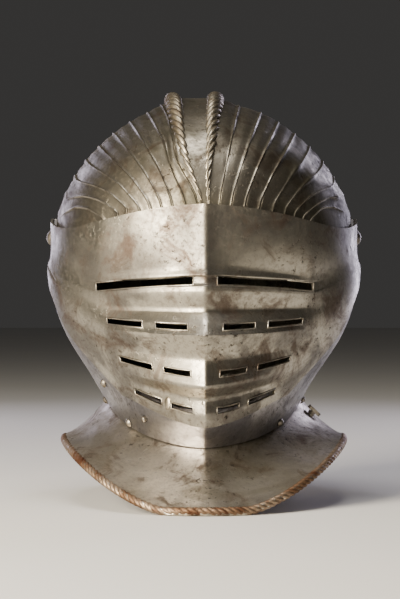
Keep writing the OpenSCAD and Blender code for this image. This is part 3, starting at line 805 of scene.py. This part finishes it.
def skull_height(x, degrees):
    """The skull's distance from the pivot axis at x and this turn, and the place itself."""
    start = Vector((x, PIVOT.y, PIVOT.z)) + outward(degrees) * RAY_FROM
    hit, spot, _, _ = skull.ray_cast(start, -outward(degrees))
    return (RAY_FROM - (start - spot).length, spot) if hit else (0, None)


def crest(side, degrees, middle, reach):
    """The highest point on one side of the middle line, no further out than reach."""
    heights = [skull_height(middle + side * step * CREST_STEP, degrees)
               for step in range(FIRST_STEP, int(reach / CREST_STEP))]
    return max(heights, key=lambda height: height[0])[1]


def rise(degrees):
    """How far the combs have grown at this turn, from 0 at the brow and nape to 1."""
    if degrees < 90:
        return smooth_step(*COMB_GROWS, degrees)
    return 1 - smooth_step(*COMB_FADES, degrees)


print("crown crest x:", round(crest(1, 90, 0, 24 * MM).x / MM, 1))

# %% Lay the combs' ropes
BROW_TURN, NAPE_TURN, TURN_STEP = 12, 207, 3
MIDDLE_SHIFT = -5  # the pair stands off centre at the crown, in millimetres
SUNK = 0.62  # the rope's middle lies this share of its radius below the crest
SEARCH_AT_ENDS, SEARCH_GAIN = 3.5, 21  # millimetres from the middle line
ROPE_AT_ENDS, ROPE_GAIN, ROPE_FULLNESS = 0.9, 5.1, 0.6  # millimetres of radius, and a power
COMB_PITCH = 30 * MM
LOBES = 4
SMOOTHINGS = 4


def smoothed(path):
    """The path with each inner point drawn towards its neighbours."""
    return path[:1] + [(a + 2 * b + c) / 4
                       for a, b, c in zip(path, path[1:], path[2:])] + path[-1:]


for side, name in ((-1, "right_comb_rope"), (1, "left_comb_rope")):
    path, radii = [], []
    for degrees in range(BROW_TURN, NAPE_TURN, TURN_STEP):
        grown = rise(degrees)
        reach = (SEARCH_AT_ENDS + SEARCH_GAIN * grown) * MM
        reach += leaning(degrees) if side < 0 else 0
        spot = crest(side, degrees, MIDDLE_SHIFT * MM * grown, reach)
        thick = (ROPE_AT_ENDS + ROPE_GAIN * grown ** ROPE_FULLNESS) * MM
        path.append(spot - outward(degrees) * thick * SUNK)
        radii.append(thick)
    for _ in range(SMOOTHINGS):
        path = smoothed(path)
    print(name, "top", [round(v / MM, 1) for v in max(path, key=lambda p: p.z)])
    bar = rope(name, path, radii, LOBES, COMB_PITCH, side, relief=0.3)
    bar.data.materials.append(rope_steel)
    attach(bar, "skull")

# %% [markdown]
# ## Roped collar edges
# The collars' outer edges were turned over and filed like a rope. Their lines are the CAD's
# own: an oval whose corners rise at the sides.

# %% Roped collar edges
EDGE_DEPTH = 136 * MM
FRONT_HALF_WIDTH, REAR_HALF_WIDTH = 97 * MM, 94 * MM
FRONT_SWEEP, REAR_SWEEP = 92, 86.7  # how far each edge runs round its oval, in degrees
CORNER_LIFT = 40  # how high the oval's corners rise, in millimetres
LIFT_FROM, LIFT_OVER, LIFT_POWER = 20, 77, 1.6  # it sets in this far from the middle
EDGE_MIDDLE, LOWEST = 1.7, 2.95  # the plate's mid-height, and what keeps the rope off the floor
EDGE_RADIUS = 2.9 * MM
EDGE_PITCH = 18 * MM
HALF_POINTS = 60


def edge_line(rear, u):
    """A place on a collar's edge: u runs from -1 to 1 round it, and 0 is its middle."""
    half = REAR_HALF_WIDTH if rear else FRONT_HALF_WIDTH
    a = math.radians((REAR_SWEEP if rear else FRONT_SWEEP) * u)
    x = half * math.sin(a)
    lift = CORNER_LIFT * max(0, (abs(x) / MM - LIFT_FROM) / LIFT_OVER) ** LIFT_POWER
    return Vector((x, (1 if rear else -1) * EDGE_DEPTH * math.cos(a),
                   max(LOWEST, EDGE_MIDDLE + lift) * MM))


for rear, body in ((False, "bevor"), (True, "skull")):
    path = [edge_line(rear, u / HALF_POINTS) for u in range(-HALF_POINTS, HALF_POINTS + 1)]
    bar = rope("rear_collar_rope" if rear else "front_collar_rope", path,
               [EDGE_RADIUS] * len(path), LOBES, EDGE_PITCH, -1 if rear else 1, relief=0.2)
    bar.data.materials.append(edge_rust)
    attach(bar, body)

# %% [markdown]
# ## Fittings
# Bolts, nuts, rivets, catch and pin are small turned and forged pieces whose CAD shapes are
# fine enough from this distance, so they only get their steels.

# %% Fittings
worn = ("left_pivot_bolt", "right_pivot_bolt", "front_collar_rivets", "rear_collar_rivets",
        "catch_stud", "catch_rivet", "strap_rivets", "turning_pin")
forged = ("left_pivot_nut", "right_pivot_nut", "catch_spring", "pin_strap")
for cads, steel in ((worn, fitting_steel), (forged, dark_iron)):
    for cad in cads:
        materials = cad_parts[cad].data.materials
        materials.clear()
        materials.append(steel)
print("fittings:", len(worn) + len(forged))

# %% [markdown]
# ## Sizes
# The dressed helmet's box is set beside the CAD model's box, and how far each side grew is
# printed. The dressed helmet has to stay inside the CAD model's box.

# %% Measure and finish
both = {"cad": [list(v) for v in cad_box], "visual": [list(v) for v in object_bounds()]}
grown = [round((b - a) / MM, 2) for a, b in zip(both["cad"][0] + both["cad"][1],
                                                both["visual"][0] + both["visual"][1])]
print("grown by mm:", grown)
